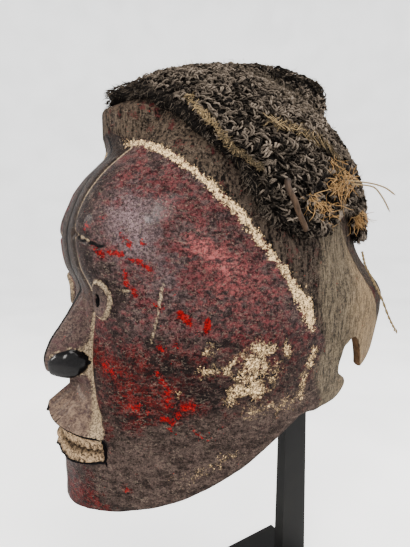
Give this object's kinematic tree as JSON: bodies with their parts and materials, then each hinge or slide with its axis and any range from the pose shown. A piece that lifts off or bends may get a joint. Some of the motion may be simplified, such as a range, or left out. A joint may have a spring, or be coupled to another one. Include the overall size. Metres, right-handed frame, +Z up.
{
  "type": "carved face mask on a stand",
  "caption": "Hollow carved wooden face mask with swelling brow, bared teeth, chalk hairline and knotted fibre hair, on a flat bar rising from a rectangular plate.",
  "frame": {"origin": "middle of the underside of the stand's plate, which rests on the table", "axes": "+Z up; the face looks to -Y; +X is the mask's own left side"},
  "size_m": [0.1938, 0.249, 0.4459],
  "materials": {
    "painted_wood": "dark red and black paint, worn, with chalk in the grooves",
    "knotted_fibre": "matt, knotted",
    "twig": "raw",
    "raffia": "raw",
    "black_steel": "satin black"
  },
  "bodies": {
    "root": {"mask": "painted_wood", "hair_cap": "knotted_fibre", "hair_peg": "twig", "hanging_strand": "raffia", "stand_post": "black_steel", "stand_plate": "black_steel"}
  },
  "joints": []
}
